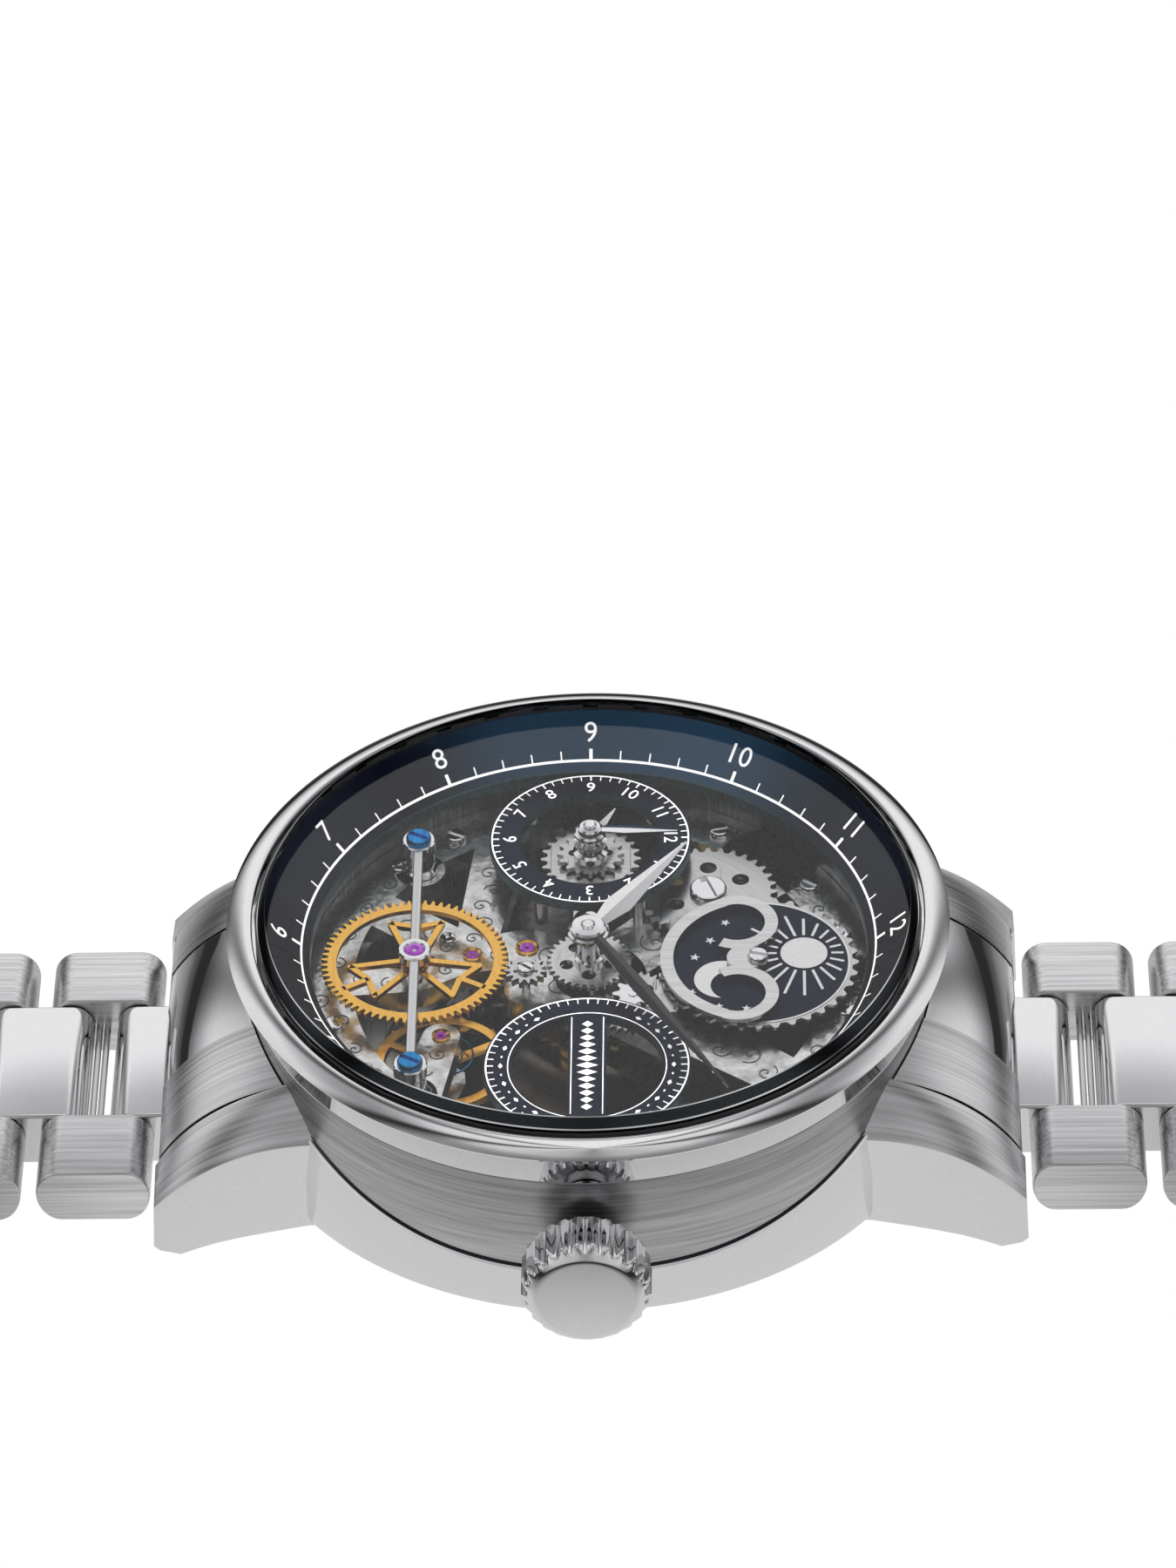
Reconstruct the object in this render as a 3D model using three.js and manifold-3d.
// Skeleton wristwatch on a steel bracelet, laid out flat with its loop open.
// Millimetres. +Z points out of the dial, +Y to 12 o'clock, +X to 3 o'clock. The origin is on the
// axis of the hands, in the plane of the case back's outer face.

import * as THREE from 'three';
import { mergeVertices } from 'three/addons/utils/BufferGeometryUtils.js';
import Module from 'manifold-3d';

const wasm = await Module();
wasm.setup();

// ---- driving dimensions ------------------------------------------------------------------------

const BEZEL_R = 21.1;
const BEZEL_BORE_R = 19.5;
const BEZEL_TOP = 13.65;
const CASE_TOP = 12.85;
const CASE_BOTTOM = 0.95;
const CASE_BORE_R = 18.0;
const CRYSTAL_R = 19.3;
const CRYSTAL_BOTTOM = 13.42;
const CRYSTAL_TOP = 14.45;
const LINE_Z = 11.3; // height of the printed minute line
const LINE_R = 16.8; // radius of the printed minute line
const FLANGE_SLOPE = 0.9;
const FLANGE_INNER_R = 16.3;
const FLANGE_OUTER_R = 19.1;

const PLATE_BOTTOM = 7.2;
const PLATE_TOP = 8.5;
const PLATE_R = 16.9;
const RING_BOTTOM = 10.1; // underside of the two dial rings
const RING_TOP = 10.7;
const RING_R = 6.0;
const TRAIN_BRIDGE_BOTTOM = 4.3;
const TRAIN_BRIDGE_TOP = 5.1;
const GAP = 0.05; // between pieces that rest on each other

const DUAL = [-10.2, 0]; // dual time axis
const BADGE = [10.2, 0]; // centre of the open ring at 3 o'clock
const SUN_MOON = [0, 9.9];
const SECONDS = [0, -10.2];
const SECONDS_PINION = [0.9, -3.7];
const THIRD = [-2.8, -3.7];
const ESCAPE = [-2.2, -6.9];
const BALANCE = [5.0, -8.6];
const PALLET = [0.62, -7.57];
const BARREL = [-6.9, 7.0];
const MINUTE_WHEEL = [3.0, 2.6];
const BRIDGE_SCREW_X = 10.05;

const SECONDS_TEETH = 70;
const PINION_TEETH = 15;

const STEM_Z = 6.7;
const STEM_R = 0.45;
const CROWN_BACK_X = 22.2;
const CROWN_FACE_X = 25.7;
const CROWN_R = 3.7;
const CROWN_FACE_R = 3.1;
const CROWN_FLUTES = 25;

const LUG_GAP = 20; // clear width between a pair of lugs
const LUG_WIDTH = 2.9;
const LUG_TIP_Y = 25.3;
const LUG_LEAN = 0.53; // how fast the lug tops fall away to the sides
const END_LINK_LEAN = 0.23;
const SPRING_BAR_Y = 22.7;
const SPRING_BAR_Z = 2.2;
const SPRING_BAR_R = 0.6;

const LINK_COUNT_12 = 5;
const LINK_COUNT_6 = 4;
const LINK_PITCH = 7.6;
const LINK_THICK = 4.0;
const LINK_HALF = LUG_GAP / 2 - 0.05;
const CENTRE_HALF = 4.95; // half width of the centre row
const OUTER_INSIDE = 5.05; // where the outer rows start
const FIRST_PIN_Y = 27.2;
const PIN_R = 0.55;
const PIN_BORE_R = 0.75;
const PIN_Z = 0.8;

const CLASP_LENGTH = 34;
const CLASP_HALF_WIDTH = 8.9;
const CLASP_TOP = 4.5;
const CLASP_PIN_Z = 1.45; // the last link's pin, in the clasp's own frame
const CLASP_WALL = 1.0;

const ROUND = 40; // sides of the largest turned pieces
const SMALL = 12; // sides of posts and screws
const TAU = 2 * Math.PI;

// ---- solids ------------------------------------------------------------------------------------

function toSolid(geometry) {
  const bare = (geometry.index ? geometry.toNonIndexed() : geometry).clone();
  bare.deleteAttribute('normal');
  bare.deleteAttribute('uv');
  const merged = mergeVertices(bare, 1e-4);
  const index = merged.index.array;
  const corners = merged.attributes.position;
  const triangles = [];
  for (let i = 0; i < index.length; i += 3) {
    const [a, b, c] = [index[i], index[i + 1], index[i + 2]];
    if (a !== b && b !== c && c !== a) triangles.push([a, b, c]);
  }
  const at = (i) => new THREE.Vector3().fromBufferAttribute(corners, i);
  const volume = triangles.reduce((sum, [a, b, c]) => sum + at(a).dot(at(b).cross(at(c))), 0);
  const facing = volume > 0 ? triangles : triangles.map(([a, b, c]) => [a, c, b]);
  return new wasm.Manifold(new wasm.Mesh({
    numProp: 3,
    vertProperties: Float32Array.from(corners.array),
    triVerts: Uint32Array.from(facing.flat()),
  }));
}

function toGeometry(solid) {
  const mesh = solid.getMesh();
  const geometry = new THREE.BufferGeometry();
  const xyz = new Float32Array((mesh.vertProperties.length / mesh.numProp) * 3);
  for (let i = 0; i < xyz.length / 3; i++) {
    for (let k = 0; k < 3; k++) xyz[3 * i + k] = mesh.vertProperties[i * mesh.numProp + k];
  }
  geometry.setAttribute('position', new THREE.BufferAttribute(xyz, 3));
  geometry.setIndex(new THREE.BufferAttribute(Uint32Array.from(mesh.triVerts), 1));
  geometry.computeVertexNormals();
  return geometry;
}

const join = (...solids) => solids.reduce((a, b) => a.add(b));
const cut = (solid, ...tools) => tools.reduce((a, b) => a.subtract(b), solid);

// A profile of [radius, z] points turned about Z. It closes on itself, or starts and ends on the axis.
function turned(profile, sides = ROUND) {
  const points = profile.map(([r, z]) => new THREE.Vector2(r, z));
  if (profile[0][0] > 0) points.push(points[0].clone());
  return toSolid(new THREE.LatheGeometry(points, sides).rotateX(Math.PI / 2));
}

const ring = (r0, r1, z0, z1, sides = ROUND) => turned([[r0, z0], [r1, z0], [r1, z1], [r0, z1]], sides);

function disc(r, z0, z1, [x, y] = [0, 0], sides = SMALL) {
  return turned([[0, z0], [r, z0], [r, z1], [0, z1]], sides).translate([x, y, 0]);
}

// A flat outline in XY made solid between two heights.
function slab(outline, z0, z1, curveSegments = 6) {
  const shape = Array.isArray(outline)
      ? new THREE.Shape(outline.map(([x, y]) => new THREE.Vector2(x, y)))
      : outline;
  const options = { depth: z1 - z0, bevelEnabled: false, curveSegments };
  return toSolid(new THREE.ExtrudeGeometry(shape, options).translate(0, 0, z0));
}

// An outline in the YZ plane made solid between two values of X. With a lean it sinks as X grows from x0.
function sideSlab(outline, x0, x1, curveSegments = 6, lean = 0) {
  const shape = Array.isArray(outline)
      ? new THREE.Shape(outline.map(([y, z]) => new THREE.Vector2(y, z)))
      : outline;
  const options = { depth: x1 - x0, bevelEnabled: false, curveSegments };
  const toYZ = new THREE.Matrix4().makeBasis(
    new THREE.Vector3(0, 1, 0), new THREE.Vector3(0, 0, 1), new THREE.Vector3(1, 0, 0));
  const sink = new THREE.Matrix4().set(1, 0, 0, 0, 0, 1, 0, 0, -lean, 0, 1, 0, 0, 0, 0, 1);
  const body = new THREE.ExtrudeGeometry(shape, options).applyMatrix4(toYZ).applyMatrix4(sink);
  return toSolid(body.translate(x0, 0, 0));
}

function block([x0, x1], [y0, y1], [z0, z1]) {
  const box = new THREE.BoxGeometry(x1 - x0, y1 - y0, z1 - z0);
  return toSolid(box.translate((x0 + x1) / 2, (y0 + y1) / 2, (z0 + z1) / 2));
}

function rodX(radius, x0, x1, y, z, sides = 12) {
  return toSolid(new THREE.CylinderGeometry(radius, radius, x1 - x0, sides)
    .rotateZ(Math.PI / 2).translate((x0 + x1) / 2, y, z));
}

// An arm with round ends of radius r0 at p and r1 at q.
function arm(p, q, r0, r1, z0, z1, steps = 4) {
  const along = Math.atan2(q[1] - p[1], q[0] - p[0]);
  const lean = Math.asin((r0 - r1) / Math.hypot(q[0] - p[0], q[1] - p[1]));
  const outline = [];
  for (let i = 0; i <= steps; i++) {
    const a = along + Math.PI / 2 - lean + ((Math.PI + 2 * lean) * i) / steps;
    outline.push([p[0] + r0 * Math.cos(a), p[1] + r0 * Math.sin(a)]);
  }
  for (let i = 0; i <= steps; i++) {
    const a = along - Math.PI / 2 + lean + ((Math.PI - 2 * lean) * i) / steps;
    outline.push([q[0] + r1 * Math.cos(a), q[1] + r1 * Math.sin(a)]);
  }
  return slab(outline, z0, z1);
}

// A straight bar of one width between two points.
function bar(p, q, width, z0, z1) {
  const length = Math.hypot(q[0] - p[0], q[1] - p[1]);
  const [nx, ny] = [(-(q[1] - p[1]) / length) * (width / 2), ((q[0] - p[0]) / length) * (width / 2)];
  return slab([[p[0] + nx, p[1] + ny], [p[0] - nx, p[1] - ny], [q[0] - nx, q[1] - ny],
    [q[0] + nx, q[1] + ny]], z0, z1);
}

const onCircle = (r, degrees) => [r * Math.cos((degrees / 360) * TAU), r * Math.sin((degrees / 360) * TAU)];

// Outline of a toothed wheel. `phase` turns it, in teeth.
function gearOutline(teeth, tip, root, phase = 0) {
  const corners = [[root, -0.5], [tip, -0.12], [tip, 0.12]];
  const tooth = (i) => corners.map(([r, share]) => onCircle(r, ((i + phase + share) * 360) / teeth));
  return Array.from({ length: teeth }, (_, i) => tooth(i)).flat();
}

// Phase that puts a gap of the wheel at `to` over a tooth of the unturned wheel at `from`.
function meshingPhase(from, to, fromTeeth, toTeeth) {
  const bearing = Math.atan2(to[1] - from[1], to[0] - from[0]) / TAU;
  const ahead = Math.round(fromTeeth * bearing) - fromTeeth * bearing;
  return (toTeeth * (bearing + 0.5) - ahead + 0.5) % 1;
}

// A toothed wheel with round-cornered openings between its arms, and an arbor through its middle.
function wheel({ teeth, tip, depth, z, thick, arms, hub, arbor, phase = 0 }) {
  const rimInside = tip - 2.6 * depth;
  let body = slab(gearOutline(teeth, tip, tip - depth, phase), z, z + thick);
  for (let i = 0; i < arms; i++) {
    const [from, to] = [(360 / arms) * i + 14, (360 / arms) * (i + 1) - 14];
    const sweep = [0, 0.5, 1].map((t) => from + (to - from) * t);
    const opening = [...sweep.map((a) => onCircle(rimInside, a)), onCircle(hub, to - 6),
      onCircle(hub, from + 6)];
    body = cut(body, slab(opening, z - 1, z + thick + 1));
  }
  return join(body, disc(arbor.r, arbor.z0, arbor.z1, [0, 0], 12));
}

// ---- materials ---------------------------------------------------------------------------------

const FINISHES = {
  polished_steel: { color: 0xd9dbdc, roughness: 0.12, metalness: 1 },
  brushed_steel: { color: 0xb9bbbd, roughness: 0.38, metalness: 1 },
  dark_steel: { color: 0x77797c, roughness: 0.4, metalness: 1 },
  gold: { color: 0xd9a23a, roughness: 0.25, metalness: 1 },
  brass: { color: 0xb08a45, roughness: 0.35, metalness: 1 },
  blued_steel: { color: 0x1566a8, roughness: 0.2, metalness: 1 },
  navy: { color: 0x141c33, roughness: 0.35, metalness: 0.5 },
  glass: { color: 0xf2f6fa, roughness: 0.03, metalness: 0 },
  ruby: { color: 0xa01c58, roughness: 0.1, metalness: 0 },
  rubber: { color: 0x1b1b1d, roughness: 0.8, metalness: 0 },
};

const watch = new THREE.Group();

function add(name, solid, finish, [x, y, z] = [0, 0, 0], parent = watch) {
  const mesh = new THREE.Mesh(toGeometry(solid), new THREE.MeshStandardMaterial(FINISHES[finish]));
  mesh.name = name;
  mesh.position.set(x, y, z);
  parent.add(mesh);
  return mesh;
}

// ---- case --------------------------------------------------------------------------------------

const CASE_SIDE = [
  [20.0, CASE_TOP], [20.0, 10.4], [20.2, 7.6], [20.6, 4.35], [20.85, 4.3], [20.85, 1.6], [20.3, CASE_BOTTOM],
];

// Everything outside this outline is free for the end links.
function caseEnvelope(margin) {
  const sides = CASE_SIDE.map(([r, z]) => [r + margin, z]);
  return turned([[0, CASE_TOP + 1], [20 + margin, CASE_TOP + 1], ...sides, [20.3 + margin, -2], [0, -2]]);
}

// The lug is what its leaning top and its upright underside have in common.
function lug() {
  const [inside, outside] = [LUG_GAP / 2, LUG_GAP / 2 + LUG_WIDTH];
  const top = new THREE.Shape();
  top.moveTo(14.6, 9.75);
  top.quadraticCurveTo(22.6, 8.3, LUG_TIP_Y, 3.1);
  top.lineTo(LUG_TIP_Y + 0.2, -4);
  top.lineTo(14.6, -4);
  const under = new THREE.Shape();
  under.moveTo(14.6, 10);
  under.lineTo(LUG_TIP_Y, 10);
  under.lineTo(LUG_TIP_Y + 0.15, -0.6);
  under.lineTo(LUG_TIP_Y - 0.1, -0.95);
  under.lineTo(23.9, -1.27);
  under.quadraticCurveTo(20.6, 0.3, 16.8, 0.97);
  under.lineTo(14.6, 0.97);
  return sideSlab(top, inside, outside, 6, LUG_LEAN).intersect(sideSlab(under, inside, outside, 5));
}

function caseMiddle() {
  const shell = turned([[19.0, CASE_TOP], ...CASE_SIDE, [18.2, CASE_BOTTOM], [CASE_BORE_R, 2.0],
    [CASE_BORE_R, 10.05], [19.0, 10.05]]);
  const core = turned([[0, 20], [19.4, 20], [19.4, -2], [0, -2]]);
  const right = lug().subtract(core);
  const pair = [right, right.mirror([1, 0, 0])];
  const half = LUG_GAP / 2;
  const barHole = rodX(SPRING_BAR_R + 0.15, -half - 1.6, half + 1.6, SPRING_BAR_Y, SPRING_BAR_Z);
  const crownTube = rodX(0.95, 18.5, CROWN_BACK_X - 0.3, 0, STEM_Z, 20);
  const fitted = join(shell, crownTube, ...pair, ...pair.map((l) => l.rotate([0, 0, 180])));
  return cut(fitted, barHole, barHole.rotate([0, 0, 180]), rodX(STEM_R + 0.12, 15, 23, 0, STEM_Z, 16));
}

add('case_middle', caseMiddle(), 'brushed_steel');

// The bezel rises gently inwards from its outer edge. The crystal stands a little proud of it.
const BEZEL_BOTTOM = CASE_TOP + GAP;
add('bezel', turned([[BEZEL_BORE_R, BEZEL_BOTTOM], [BEZEL_R - 0.2, BEZEL_BOTTOM],
  [BEZEL_R, BEZEL_BOTTOM + 0.12],
  [20.75, 13.3], [20.3, 13.53], [19.8, BEZEL_TOP], [BEZEL_BORE_R, BEZEL_TOP - 0.05]]), 'polished_steel');

add('crystal', turned([[0, CRYSTAL_BOTTOM], [CRYSTAL_R, CRYSTAL_BOTTOM], [CRYSTAL_R, 13.75],
  [CRYSTAL_R - 0.45, CRYSTAL_TOP], [0, CRYSTAL_TOP]]), 'glass');
add('crystal_gasket', ring(CRYSTAL_R + 0.03, BEZEL_BORE_R - 0.03, 13.0, 13.6), 'rubber');

const flangeZ = (r) => LINE_Z + (r - LINE_R) * FLANGE_SLOPE;
add('minute_flange', turned([[FLANGE_INNER_R, 10.1], [18.7, 10.1], [18.7, BEZEL_BOTTOM],
  [FLANGE_OUTER_R, BEZEL_BOTTOM],
  [FLANGE_OUTER_R, flangeZ(FLANGE_OUTER_R)], [FLANGE_INNER_R, flangeZ(FLANGE_INNER_R)]]), 'navy');

const holder = ring(PLATE_R + 0.05, CASE_BORE_R - 0.05, 3.0, 9.95);
add('movement_holder', cut(holder, rodX(STEM_R + 0.4, 15, 19, 0, STEM_Z)), 'dark_steel');

function caseBack() {
  const cover = turned([[13.4, 0], [18.9, 0], [19.3, 0.5], [19.3, 0.9], [17.8, 0.9], [17.8, 1.8],
    [13.4, 1.8]]);
  const notch = block([-1.2, 1.2], [17.2, 18.3], [-1, 0.45]);
  return cut(cover, ...[30, 90, 150, 210, 270, 330].map((a) => notch.rotate([0, 0, a])));
}
add('case_back', caseBack(), 'brushed_steel');
add('case_back_glass', turned([[0, 0], [13.3, 0], [13.3, 1.5], [0, 1.5]]), 'glass');

// ---- movement: plates and bridges --------------------------------------------------------------

function mainPlate() {
  const flat = (p, q, r0, r1) => arm(p, q, r0, r1, PLATE_BOTTOM, PLATE_TOP);
  const boss = (p, r) => disc(r, PLATE_BOTTOM, PLATE_TOP, p, 10);
  const rim = ring(13.9, PLATE_R, PLATE_BOTTOM, PLATE_TOP);
  const centre = [0, 0];
  const solidPlate = join(rim, disc(3.4, PLATE_BOTTOM, PLATE_TOP, centre, 16),
    flat(centre, onCircle(15, 52), 2.2, 1.6), flat(centre, THIRD, 2.6, 1.7), flat(THIRD, ESCAPE, 1.7, 1.5),
    flat(ESCAPE, onCircle(15, 242), 1.5, 1.4), flat(ESCAPE, onCircle(15, 200), 1.2, 1.6),
    flat(centre, SECONDS_PINION, 2.0, 1.3), flat(SECONDS, onCircle(15, 270), 1.0, 1.4),
    flat(ESCAPE, SECONDS, 1.2, 1.0),
    flat(BALANCE, onCircle(15, 318), 1.1, 1.4), flat(centre, [-5.4, 0], 1.6, 1.0),
    flat(centre, [5.4, 0], 1.6, 1.0),
    flat(DUAL, onCircle(15, 180), 1.3, 1.8), flat(DUAL, [-5.4, 0], 1.0, 1.0),
    flat(BARREL, onCircle(15, 135), 2.2, 3.0),
    flat(BARREL, centre, 2.2, 2.0), flat(SUN_MOON, onCircle(15, 90), 1.4, 2.0),
    boss([BRIDGE_SCREW_X, -10.2], 1.5), boss([-BRIDGE_SCREW_X, -10.2], 1.5));
  const arborHoles = [[centre, 0.75], [THIRD, 0.5], [BARREL, 0.9], [MINUTE_WHEEL, 0.4], [BALANCE, 0.3],
    [SECONDS, 0.4]];
  const stud = disc(0.26, PLATE_TOP - 0.1, 10.0, SECONDS_PINION, 8);
  const round = disc(PLATE_R, PLATE_BOTTOM, PLATE_TOP, [0, 0], ROUND);
  return join(cut(solidPlate.intersect(round), ...arborHoles.map(([p, r]) => disc(r, PLATE_BOTTOM - 1,
    PLATE_TOP + 1, p, 8))), stud);
}
add('main_plate', mainPlate(), 'polished_steel');

function backBridge(outline, posts) {
  const feet = posts.map((p) => disc(0.9, TRAIN_BRIDGE_TOP - 0.1, PLATE_BOTTOM - GAP, p, 8));
  return join(...outline, ...feet);
}
const backArm = (p, q, r0, r1) => arm(p, q, r0, r1, TRAIN_BRIDGE_BOTTOM, TRAIN_BRIDGE_TOP);
const trainPosts = [112, 160, 195, 235, 45].map((a) => onCircle(15.4, a));
const trainArms = [[BARREL, trainPosts[0], 3.0, 1.4], [BARREL, trainPosts[1], 3.0, 1.4],
  [BARREL, [0, 0], 3.0, 2.2],
  [[0, 0], trainPosts[2], 2.2, 1.3], [THIRD, trainPosts[3], 1.8, 1.3], [[0, 0], THIRD, 2.2, 1.8],
  [[0, 0], trainPosts[4], 2.2, 1.3]];
add('train_bridge', backBridge(trainArms.map((a) => backArm(...a)), trainPosts), 'brushed_steel');
const cockPost = onCircle(15.2, 315);
add('balance_cock', backBridge([backArm(BALANCE, cockPost, 1.4, 1.5)], [cockPost]), 'brushed_steel');

// The steel bar over the seconds wheel stands on two pillars.
function secondsBridge() {
  const [, y] = SECONDS;
  const rail = bar([-BRIDGE_SCREW_X, y], [BRIDGE_SCREW_X, y], 0.55, 10.35, 10.85);
  const pillars = [-BRIDGE_SCREW_X, BRIDGE_SCREW_X].map((x) => disc(0.95, PLATE_TOP + GAP, 10.9, [x, y]));
  const setting = disc(0.95, 10.3, 10.95, SECONDS);
  return cut(join(rail, setting, ...pillars), disc(0.62, 10.6, 12, SECONDS),
    ...[-BRIDGE_SCREW_X, BRIDGE_SCREW_X].map((x) => disc(0.45, 9.4, 12, [x, y], 12)));
}
add('seconds_bridge', secondsBridge(), 'polished_steel');
add('seconds_jewel', turned([[0.1, 10.65], [0.55, 10.65], [0.55, 10.9], [0.3, 11.0], [0.1, 10.85]], 16),
  'ruby',
  [...SECONDS, 0]);

function slottedScrew(headR, headZ, headHeight, shankR, shankLength) {
  const head = disc(headR, headZ, headZ + headHeight);
  const shank = disc(shankR, headZ - shankLength, headZ + 0.05, [0, 0], 10);
  const slot = block([-headR - 0.1, headR + 0.1], [-0.07, 0.07],
    [headZ + headHeight * 0.5, headZ + headHeight + 0.1]);
  return cut(join(head, shank), slot);
}
for (const [side, sign] of [['3', 1], ['9', -1]]) {
  const screw = slottedScrew(0.72, 10.93, 0.3, 0.35, 1.3);
  add(`bridge_screw_${side}`, screw.rotate([0, 0, 35]), 'blued_steel',
    [sign * BRIDGE_SCREW_X, SECONDS[1], 0]);
}

// ---- movement: winding and going train ---------------------------------------------------------

const WHEEL_THICK = 0.3;

add('barrel', join(disc(4.8, 5.5, 7.0, [0, 0], 20), disc(0.7, 6.9, 8.75, [0, 0], 12),
  slab(gearOutline(28, 5.25, 4.85), 5.5, 5.9)), 'brass', [...BARREL, 0]);
add('ratchet_wheel', cut(slab(gearOutline(32, 4.1, 3.75), 8.85, 9.25), disc(0.72, 8, 10, [0, 0], 12)),
  'polished_steel', [...BARREL, 0]);

add('centre_wheel', wheel({ teeth: 30, tip: 3.9, depth: 0.3, z: 6.0, thick: WHEEL_THICK, arms: 3, hub: 0.9,
  arbor: { r: 0.5, z0: 5.3, z1: 8.9 } }), 'brass');
add('third_wheel', join(wheel({ teeth: 20, tip: 2.75, depth: 0.25, z: 6.6, thick: WHEEL_THICK, arms: 3,
  hub: 0.7,
  arbor: { r: 0.3, z0: 5.2, z1: 8.4 } }), slab(gearOutline(9, 0.7, 0.5), 5.9, 6.5)), 'brass', [...THIRD, 0]);
add('seconds_wheel', secondsWheel(), 'gold', [...SECONDS, 0]);
const pinionPhase = meshingPhase(SECONDS, SECONDS_PINION, SECONDS_TEETH, PINION_TEETH);
add('seconds_pinion', cut(slab(gearOutline(PINION_TEETH, 1.25, 0.95, pinionPhase), 9.6, 10.05),
  disc(0.32, 9, 11, [0, 0], 12)), 'polished_steel', [...SECONDS_PINION, 0]);

// Gold seconds wheel: a toothed rim on three open arrow-shaped arms.
function secondsWheel() {
  const [z0, z1] = [9.7, 10.0];
  const rim = cut(slab(gearOutline(SECONDS_TEETH, 5.5, 5.15), z0, z1),
    disc(4.65, z0 - 1, z1 + 1, [0, 0], 28));
  const barWidth = 0.36;
  const arms = [60, 180, 300].flatMap((a) => {
    const [left, right] = [onCircle(3.8, a - 23.5), onCircle(3.8, a + 23.5)];
    const notch = onCircle(3.1, a);
    return [bar(onCircle(0.6, a - 40), left, barWidth, z0, z1),
      bar(onCircle(0.6, a + 40), right, barWidth, z0, z1),
      bar(left, notch, barWidth, z0, z1), bar(right, notch, barWidth, z0, z1),
      bar(notch, onCircle(4.9, a), barWidth, z0, z1)];
  });
  return join(rim, ...arms, disc(1.0, z0, z1), disc(0.28, PLATE_TOP - 0.3, 10.25, [0, 0], 10));
}

add('escape_wheel', escapeWheel(), 'polished_steel', [...ESCAPE, 0]);
function escapeWheel() {
  const teeth = Array.from({ length: 15 }, (_, i) => [onCircle(1.45, i * 24), onCircle(1.95, i * 24 + 14),
    onCircle(1.9, i * 24 + 17),
    onCircle(1.45, i * 24 + 15)]).flat();
  return join(slab(teeth, 5.3, 5.55), disc(0.3, 5.2, 7.1, [0, 0], 8));
}

add('pallet_fork', palletFork(), 'polished_steel', [...PALLET, 0]);
function palletFork() {
  const toBalance = Math.atan2(BALANCE[1] - PALLET[1], BALANCE[0] - PALLET[0]);
  const turn = (toBalance / TAU) * 360;
  const lever = join(bar([0, 0], [3.1, 0], 0.3, 5.3, 5.5), bar([3.0, -0.35], [3.6, -0.45], 0.2, 5.3, 5.5),
    bar([3.0, 0.35], [3.6, 0.45], 0.2, 5.3, 5.5), bar([3.05, -0.42], [3.05, 0.42], 0.2, 5.3, 5.5),
    bar([0, -1.5], [0, 1.5], 0.35, 5.3, 5.5), bar([-0.05, -1.4], [-1.1, -1.52], 0.25, 5.3, 5.5),
    bar([-0.05, 1.4], [-1.1, 1.52], 0.25, 5.3, 5.5), disc(0.22, 5.2, 7.1, [0, 0], 10));
  return lever.rotate([0, 0, turn]);
}

add('balance_wheel', balanceWheel(), 'gold', [...BALANCE, 0]);
function balanceWheel() {
  const rim = ring(3.4, 4.0, 6.0, 6.5, 24);
  const cross = [0, 120, 240].map((a) => bar([0, 0], onCircle(3.6, a), 0.5, 6.1, 6.4));
  const roller = disc(0.45, 5.2, 5.7);
  return join(rim, ...cross, roller, disc(0.22, 5.15, 7.15, [0, 0], 10));
}

add('hairspring', hairspring(), 'dark_steel', [...BALANCE, 0]);
function hairspring() {
  const [turns, steps, inner, outer, width] = [3, 33, 0.35, 2.3, 0.1];
  const side = (offset) => Array.from({ length: steps + 1 }, (_, i) => onCircle(
    inner + ((outer - inner) * i) / steps + offset, (360 * turns * i) / steps));
  return slab([...side(-width / 2), ...side(width / 2).reverse()], 6.75, 7.05);
}

// ---- movement: motion work, dual time and the 24-hour disc -------------------------------------

const MINUTE_HAND_Z = 12.35;
const HOUR_HAND_Z = 12.0;
const DUAL_MINUTE_Z = 11.45;
const DUAL_HOUR_Z = 11.1;
const DISC_TOP = 9.6; // face of the 24-hour disc

add('cannon_pinion', join(slab(gearOutline(12, 0.95, 0.75), 8.95, 9.55), disc(0.42, 9.5, 12.75)),
  'polished_steel');
add('hour_wheel', cut(join(slab(gearOutline(32, 2.5, 2.25), 9.65, 9.95), disc(0.68, 9.9, 12.2)),
  disc(0.48, 9, 13)), 'polished_steel');
add('minute_wheel', join(slab(gearOutline(36, 2.7, 2.45), 9.0, 9.3),
  slab(gearOutline(8, 1.2, 1.0), 9.25, 9.95),
  disc(0.3, 7.5, 10.0, [0, 0], 10)), 'polished_steel', [...MINUTE_WHEEL, 0]);

add('dual_minute_wheel', join(slab(gearOutline(24, 3.0, 2.65), 8.85, 9.15),
  disc(0.38, PLATE_TOP + GAP, 11.85)),
  'polished_steel', [...DUAL, 0]);
add('dual_hour_wheel', cut(join(slab(gearOutline(16, 2.0, 1.7), 9.3, 9.6), disc(0.65, 9.5, 11.3)),
  disc(0.44, 9, 12)), 'polished_steel', [...DUAL, 0]);

// A pointed hand that lies along +Y from a round hub, with its ridge along the middle.
function hand({ length, width, hub, bore, z, thick, tail = 0, shoulder = 0.3 }) {
  const blade = slab([[-hub * 0.35, 0], [hub * 0.35, 0], [width / 2, length * shoulder], [0.06, length],
    [-0.06, length], [-width / 2, length * shoulder]], z, z + thick);
  const boss = disc(hub, z, z + thick * 1.6, [0, 0], 20);
  const back = tail > 0 ? [arm([0, 0], [0, -tail], hub * 0.4, hub * 0.3, z, z + thick)] : [];
  return cut(join(blade, boss, ...back), disc(bore, z - 1, z + 1));
}
const clockAngle = (hours) => -30 * hours;

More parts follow.
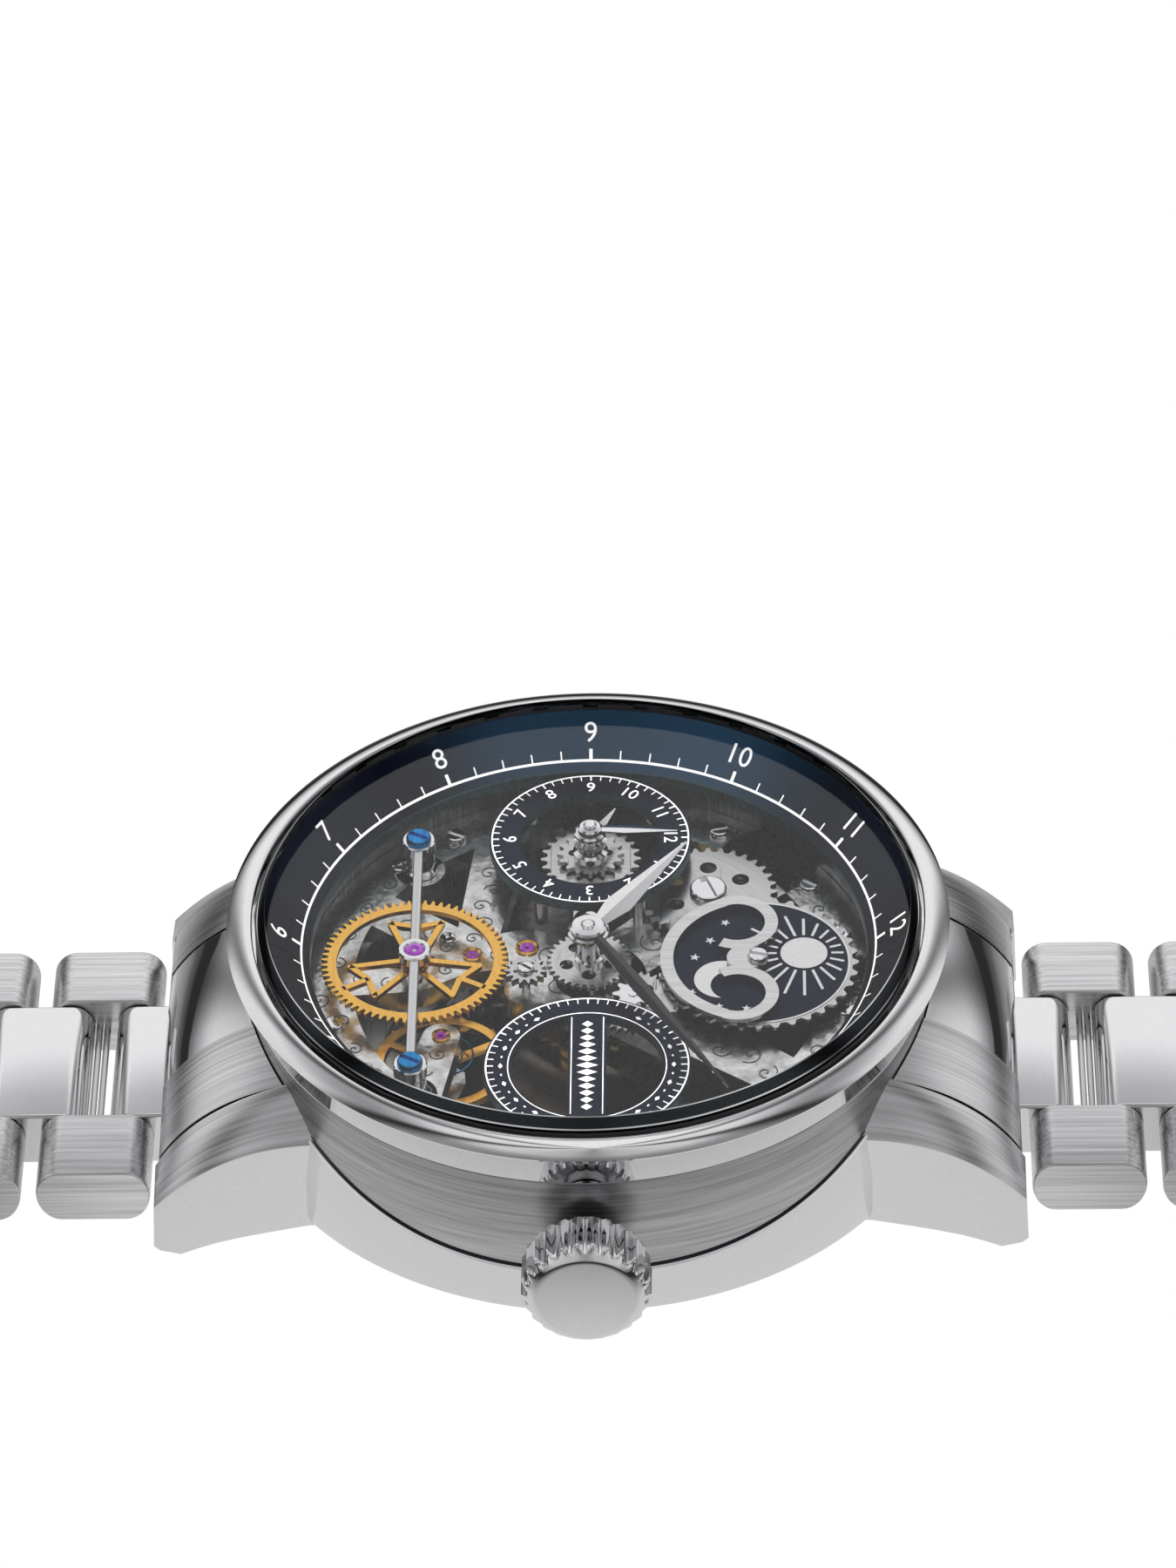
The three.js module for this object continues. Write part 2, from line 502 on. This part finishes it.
add('hour_hand', hand({ length: 10.0, width: 1.7, hub: 1.2, bore: 0.73, z: HOUR_HAND_Z, thick: 0.15 })
  .rotate([0, 0, clockAngle(10 + 10 / 60)]), 'polished_steel');
add('minute_hand', hand({ length: 16.3, width: 1.0, hub: 1.1, bore: 0.47, z: MINUTE_HAND_Z, thick: 0.15 })
  .rotate([0, 0, clockAngle(2)]), 'polished_steel');
add('dual_hour_hand', hand({ length: 2.7, width: 0.75, hub: 0.95, bore: 0.7, z: DUAL_HOUR_Z, thick: 0.12 })
  .rotate([0, 0, clockAngle(10.1)]), 'polished_steel', [...DUAL, 0]);
add('dual_minute_hand', hand({ length: 5.2, width: 0.7, hub: 0.75, bore: 0.43, z: DUAL_MINUTE_Z,
  thick: 0.12 })
  .rotate([0, 0, clockAngle(0.1)]), 'polished_steel', [...DUAL, 0]);

// Flat dial rings on three feet that stand on the main plate.
function ringOnFeet(inner, outward) {
  const feet = [[outward * 4.4, 2.6], [outward * 4.4, -2.6], [-outward * 4.9, 0]];
  const posts = feet.map((p) => disc(0.4, PLATE_TOP + GAP, RING_BOTTOM + 0.1, p, 6));
  return join(ring(inner, RING_R, RING_BOTTOM, RING_TOP, 32), ...posts);
}
add('dual_time_ring', ringOnFeet(4.15, -1), 'navy', [...DUAL, 0]);
const badgeBar = bar([-5, 0], [5, 0], 2.2, RING_BOTTOM, RING_TOP);
add('open_ring', join(ringOnFeet(4.45, 1), badgeBar), 'navy', [...BADGE, 0]);

add('sun_moon_disc', cut(slab(gearOutline(36, 5.9, 5.6), DISC_TOP - 0.2, DISC_TOP), disc(0.75, 9, 10)),
  'navy',
  [...SUN_MOON, 0]);

// Fixed steel frame over the night half of the disc, with a double-lobed edge and a central post.
function sunMoonFrame() {
  const [z0, z1] = [DISC_TOP + 0.2, DISC_TOP + 0.45];
  const lobe = ring(1.5, 2.4, z0, z1, 20).translate([3.1, -1.2, 0]);
  // The part of each lobe that lies between the nose and the rim is open.
  const open = slab([[0, 0], onCircle(7, 182), onCircle(8, 270), onCircle(7, 339)], z0 - 1, z1 + 1);
  const right = cut(lobe, open.translate([3.1, -1.2, 0]));
  const arc = cut(ring(4.8, 5.75, z0, z1, 36), block([-7, 7], [-1.9, 7], [z0 - 1, z1 + 1]));
  const nose = disc(1.15, z0, z1, [0, -0.8]);
  const post = disc(0.6, PLATE_TOP + GAP, z1 + 0.1);
  return join(arc, right, right.mirror([1, 0, 0]), nose, post);
}
add('sun_moon_frame', sunMoonFrame(), 'polished_steel', [...SUN_MOON, 0]);

// ---- movement: automatic winding ---------------------------------------------------------------

function rotor() {
  const [z0, z1] = [2.4, 3.9];
  const weight = cut(ring(12.2, 15.6, z0, z1, 36), block([-16, 16], [0, 16], [z0 - 1, z1 + 1]));
  const web = cut(slab([onCircle(2.4, 180), onCircle(12.4, 184), onCircle(12.4, 225), onCircle(12.4, 270),
    onCircle(12.4, 315), onCircle(12.4, 356), onCircle(2.4, 0)], 2.9, 3.4),
    arm([-4.6, -6.2], [-2.2, -8.0], 1.8, 1.8, 2, 4), arm([4.6, -6.2], [2.2, -8.0], 1.8, 1.8, 2, 4));
  return cut(join(weight, web, disc(2.7, 2.9, 3.4, [0, 0], 24)), disc(1.75, 2, 4, [0, 0], 24));
}
add('rotor', rotor(), 'polished_steel');
add('rotor_bearing', turned([[0, 2.7], [1.6, 2.7], [1.6, 3.55], [2.1, 3.55], [2.1, 4.25], [0, 4.25]], 24),
  'brass');

// ---- crown and stem ----------------------------------------------------------------------------

// A turned knob whose rim is cut into flutes. It is made along +Z and then laid along +X.
function crown() {
  const length = CROWN_FACE_X - CROWN_BACK_X;
  const knob = turned([[0, 0], [2.6, 0], [CROWN_R, 0.5], [CROWN_R, length - 0.9], [CROWN_FACE_R, length],
    [0, length]], CROWN_FLUTES);
  const flute = toSolid(new THREE.CylinderGeometry(0.3, 0.3, length + 2, 4).rotateX(Math.PI / 2)
    .translate(0, 0, length / 2));
  const flutes = Array.from({ length: CROWN_FLUTES }, (_, i) => {
    const [x, y] = onCircle(CROWN_R + 0.08, (i * 360) / CROWN_FLUTES);
    return flute.translate([x, y, 0]);
  });
  const socket = disc(STEM_R + 0.1, -1, 2.0, [0, 0], 12);
  return cut(knob, ...flutes, socket).rotate([0, 90, 0]).translate([CROWN_BACK_X, 0, STEM_Z]);
}
add('crown', crown(), 'polished_steel');
add('winding_stem', rodX(STEM_R, 11.5, CROWN_BACK_X + 1.9, 0, STEM_Z), 'dark_steel');

// ---- bracelet ----------------------------------------------------------------------------------

const OUTER_END_R = 1.45; // half length of the rounded end of an outer piece
const CENTRE_END_R = 1.25;

// A straight bracelet piece whose ends are rounded about the pins.
function row(y0, y1, x0, x1, endR) {
  const shape = new THREE.Shape();
  const high = LINK_THICK / 2;
  shape.absellipse(y1 - endR, PIN_Z, endR, high, -Math.PI / 2, Math.PI / 2, false);
  shape.absellipse(y0 + endR, PIN_Z, endR, high, Math.PI / 2, (3 * Math.PI) / 2, false);
  return sideSlab(shape, x0, x1, 3);
}

// One bracelet link about its inboard pin: two outer pieces, the centre piece and the pins.
function link() {
  const step = LINK_PITCH / 2;
  const outerEnds = [-OUTER_END_R, step + OUTER_END_R];
  const centre = row(step - CENTRE_END_R, LINK_PITCH + CENTRE_END_R, -CENTRE_HALF, CENTRE_HALF, CENTRE_END_R);
  const bore = rodX(PIN_BORE_R, -7, 7, 0, PIN_Z, 8);
  const outers = [row(...outerEnds, OUTER_INSIDE, LINK_HALF, OUTER_END_R),
    row(...outerEnds, -LINK_HALF, -OUTER_INSIDE, OUTER_END_R)];
  const fixedPin = rodX(PIN_R, -OUTER_INSIDE - 0.5, OUTER_INSIDE + 0.5, step, PIN_Z, 6);
  const hingePin = rodX(PIN_R, -6.7, 6.7, LINK_PITCH, PIN_Z, 8);
  return join(...outers.map((o) => o.subtract(bore)), centre, fixedPin, hingePin);
}

// Side view of the end link: its top carries on the line of the lugs, `drop` below the middle of the crown.
function endLinkOutline(drop) {
  const outline = new THREE.Shape();
  outline.moveTo(15.0, 11.1 - drop);
  outline.quadraticCurveTo(22.6, 9.7 - drop, 25.0, 4.7 - drop);
  outline.lineTo(25.15, 3.0);
  outline.lineTo(24.6, 1.0);
  outline.lineTo(15.0, 1.0);
  return outline;
}

// The end link fills the space between the lugs. Its tongue carries the first pin.
function endLink() {
  const half = LUG_GAP / 2 - 0.1;
  const middle = sideSlab(endLinkOutline(0.1), -CENTRE_HALF, CENTRE_HALF, 5);
  const side = sideSlab(endLinkOutline(0.2), CENTRE_HALF - 0.1, half, 5, END_LINK_LEAN)
    .intersect(block([0, half], [15, 26], [1.0, 12]));
  const shaped = cut(join(middle, side, side.mirror([1, 0, 0])), caseEnvelope(0.15));
  const tongue = cut(row(22.5, FIRST_PIN_Y + CENTRE_END_R, -CENTRE_HALF, CENTRE_HALF, CENTRE_END_R),
    caseEnvelope(0.15));
  const pin = rodX(PIN_R, -6.7, 6.7, FIRST_PIN_Y, PIN_Z, 8);
  return cut(join(shaped, tongue, pin), rodX(SPRING_BAR_R + 0.15, -12, 12, SPRING_BAR_Y, SPRING_BAR_Z));
}

const bracelet = { 12: new THREE.Group(), 6: new THREE.Group() };
bracelet[6].rotation.z = Math.PI;
watch.add(bracelet[12], bracelet[6]);
const springBar = rodX(SPRING_BAR_R, -11.3, 11.3, SPRING_BAR_Y, SPRING_BAR_Z);
const endPiece = endLink();
const linkPiece = link();
for (const [side, count] of [['12', LINK_COUNT_12], ['6', LINK_COUNT_6]]) {
  add(`end_link_${side}`, endPiece, 'brushed_steel', [0, 0, 0], bracelet[side]);
  add(`spring_bar_${side}`, springBar, 'dark_steel', [0, 0, 0], bracelet[side]);
  for (let i = 0; i < count; i++) {
    add(`link_${side}_${i + 1}`, linkPiece, 'brushed_steel', [0, FIRST_PIN_Y + i * LINK_PITCH, 0],
      bracelet[side]);
  }
}

// ---- folding clasp -----------------------------------------------------------------------------

// The clasp is built about the last pin of the 6 o'clock side. Its blades are folded into its cover.
const COVER_START = -1.2;
const BLADE_PIN_Y = CLASP_LENGTH - 3.2;
const SHORT_PIN_Y = 8.0;
const SHORT_LENGTH = 16.0;
const BLADE_HALF = 4.6;
const KNUCKLE_HALF = 2.1;
const BUTTON_Y = [12.4, 15.6];
const BUTTON_TRAVEL = 0.8;

const clasp = new THREE.Group();
clasp.position.set(0, FIRST_PIN_Y + LINK_COUNT_6 * LINK_PITCH, PIN_Z - CLASP_PIN_Z);
bracelet[6].add(clasp);

// An open box with two blocks that hold the last link's pin, and a window in each side for a button.
function claspCover() {
  const w = CLASP_HALF_WIDTH;
  const wallInside = w - CLASP_WALL;
  const shell = sideSlab([[COVER_START, 0.3], [CLASP_LENGTH, 0.3], [CLASP_LENGTH, CLASP_TOP - 0.5],
    [CLASP_LENGTH - 0.6, CLASP_TOP], [COVER_START + 0.6, CLASP_TOP], [COVER_START, CLASP_TOP - 0.5]], -w, w);
  const inside = block([-wallInside, wallInside], [1.6, CLASP_LENGTH - 0.6], [-1, CLASP_TOP - 0.8]);
  const linkRoom = block([-5.25, 5.25], [COVER_START - 1, 2], [-1, CLASP_TOP - 0.8]);
  const bores = [0, BLADE_PIN_Y].map((y) => rodX(PIN_BORE_R, -w + 0.5, w - 0.5, y, CLASP_PIN_Z, 10));
  const windows = block([-w - 1, w + 1], [BUTTON_Y[0] - 0.15, BUTTON_Y[1] + 0.15], [1.05, 2.75]);
  return cut(shell, inside, linkRoom, ...bores, windows);
}
add('clasp_cover', claspCover(), 'brushed_steel', [0, 0, 0], clasp);

// The long blade points back from its pin and ends in two knuckles about the short blade's pin.
function longBlade() {
  const reach = BLADE_PIN_Y - SHORT_PIN_Y;
  const plate = block([-BLADE_HALF, BLADE_HALF], [-reach, 0], [1.95, 2.75]);
  const eye = rodX(1.1, -BLADE_HALF, BLADE_HALF, 0, CLASP_PIN_Z + 0.1, 12);
  const pin = rodX(PIN_R, -CLASP_HALF_WIDTH + 0.7, CLASP_HALF_WIDTH - 0.7, 0, CLASP_PIN_Z, 10);
  const knuckles = rodX(1.1, -BLADE_HALF, BLADE_HALF, -reach, CLASP_PIN_Z + 0.1, 12);
  const gapForEye = block([-KNUCKLE_HALF - 0.1, KNUCKLE_HALF + 0.1], [-reach - 2, -reach + 1.5], [0, 4]);
  const bore = rodX(PIN_BORE_R, -BLADE_HALF + 0.5, BLADE_HALF - 0.5, -reach, CLASP_PIN_Z, 10);
  return cut(join(plate, eye, pin, knuckles), gapForEye, bore);
}
add('clasp_long_blade', longBlade(), 'polished_steel', [0, BLADE_PIN_Y, 0], clasp);

// The short blade lies under the long one. The other end of the bracelet hangs on its far bar.
function shortBlade() {
  const plate = block([-BLADE_HALF, BLADE_HALF], [1.4, SHORT_LENGTH], [0.35, 1.15]);
  const neck = block([-KNUCKLE_HALF, KNUCKLE_HALF], [0, 1.5], [0.45, 1.15]);
  const eye = rodX(1.0, -KNUCKLE_HALF, KNUCKLE_HALF, 0, CLASP_PIN_Z, 12);
  const pin = rodX(PIN_R, -BLADE_HALF + 0.7, BLADE_HALF - 0.7, 0, CLASP_PIN_Z, 10);
  const catchHole = block([-1.4, 1.4], [6.5, 9.5], [-1, 2]);
  return cut(join(plate, neck, eye, pin), catchHole);
}
add('clasp_short_blade', shortBlade(), 'polished_steel', [0, SHORT_PIN_Y, 0], clasp);

// A push button: the pad stands proud of the cover, its flange stays inside.
function claspButton(side) {
  const w = CLASP_HALF_WIDTH;
  const pad = block([w - CLASP_WALL - 0.2, w + 0.9], BUTTON_Y, [1.2, 2.6]);
  const flange = block([w - CLASP_WALL - 0.6, w - CLASP_WALL - 0.05], [BUTTON_Y[0] - 0.7, BUTTON_Y[1] + 0.7],
    [0.7, 2.9]);
  const button = join(pad, flange);
  return side > 0 ? button : button.mirror([1, 0, 0]);
}
add('clasp_button_3', claspButton(-1), 'polished_steel', [0, 0, 0], clasp);
add('clasp_button_9', claspButton(1), 'polished_steel', [0, 0, 0], clasp);

watch.updateMatrixWorld(true);

export default watch;
